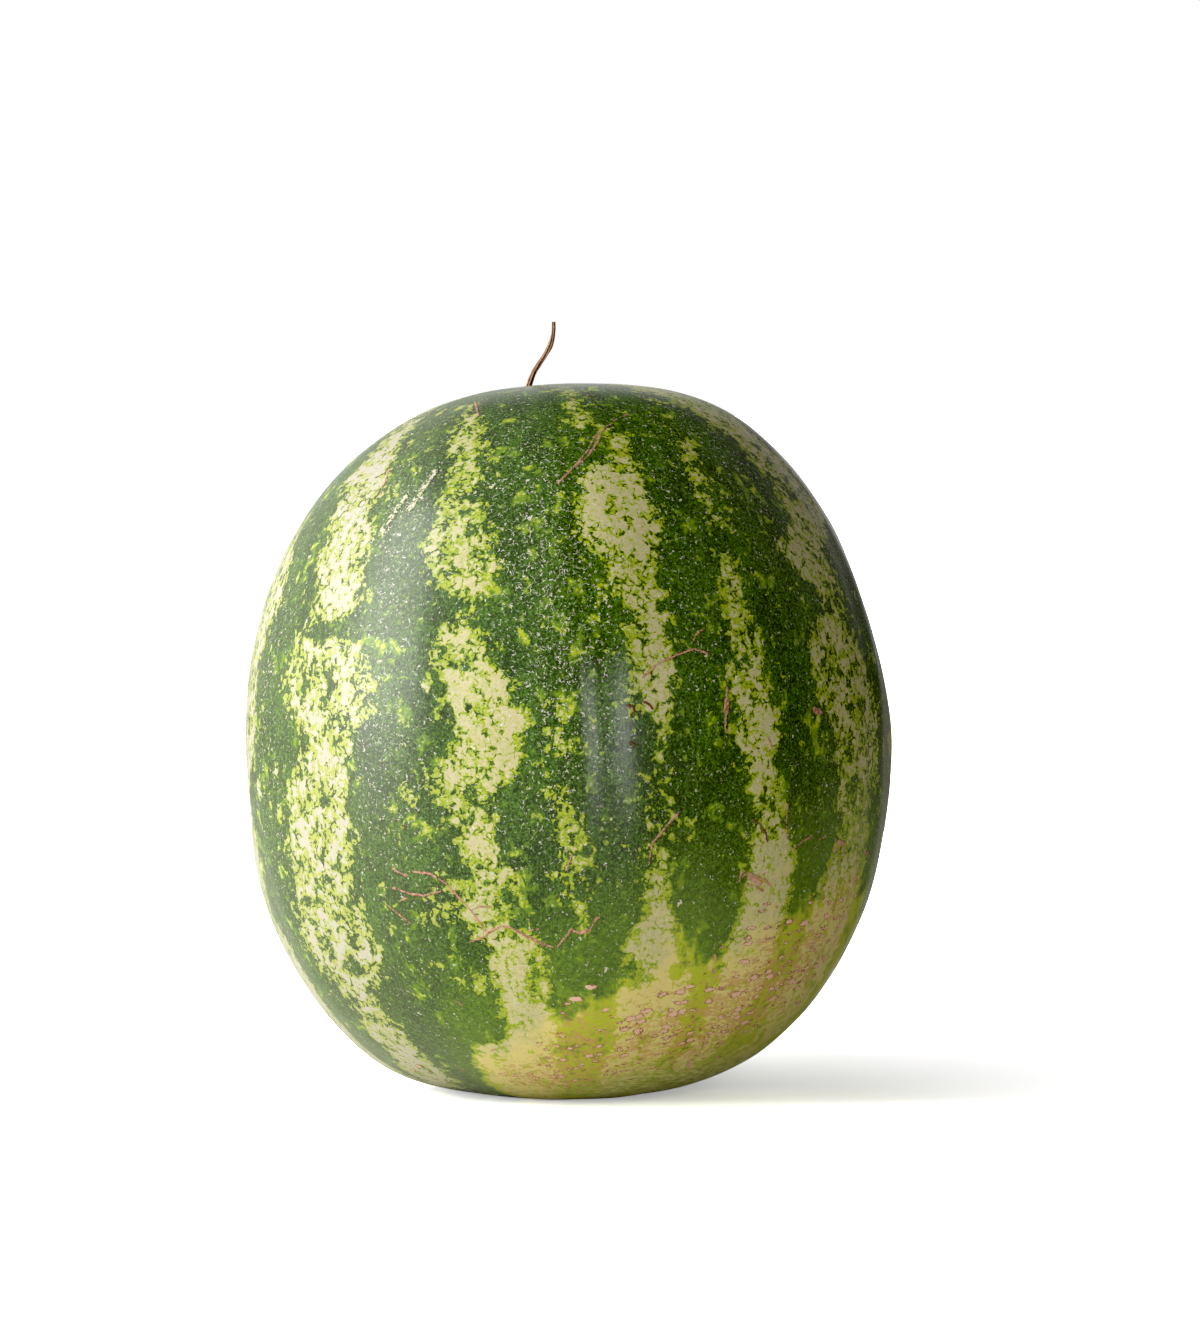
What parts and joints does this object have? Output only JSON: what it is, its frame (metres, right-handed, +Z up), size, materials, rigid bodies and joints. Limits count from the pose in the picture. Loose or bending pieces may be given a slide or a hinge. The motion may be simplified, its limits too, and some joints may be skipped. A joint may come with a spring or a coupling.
{
  "type": "watermelon",
  "caption": "Whole round-oval striped watermelon that stands on its blossom end on a small flat spot, with a short crooked dried stem on top.",
  "frame": {"origin": "on the floor in the flat spot that the fruit rests on, straight below the middle of its waist", "axes": "+Z up along the fruit, -Y towards the front, the side with the yellow ground spot, +X to the right of the front"},
  "size_m": [0.2529, 0.2534, 0.3011],
  "materials": {
    "rind": "satin",
    "dried_stem": "matte"
  },
  "bodies": {
    "root": {"melon": "rind", "stem": "dried_stem"}
  },
  "joints": []
}
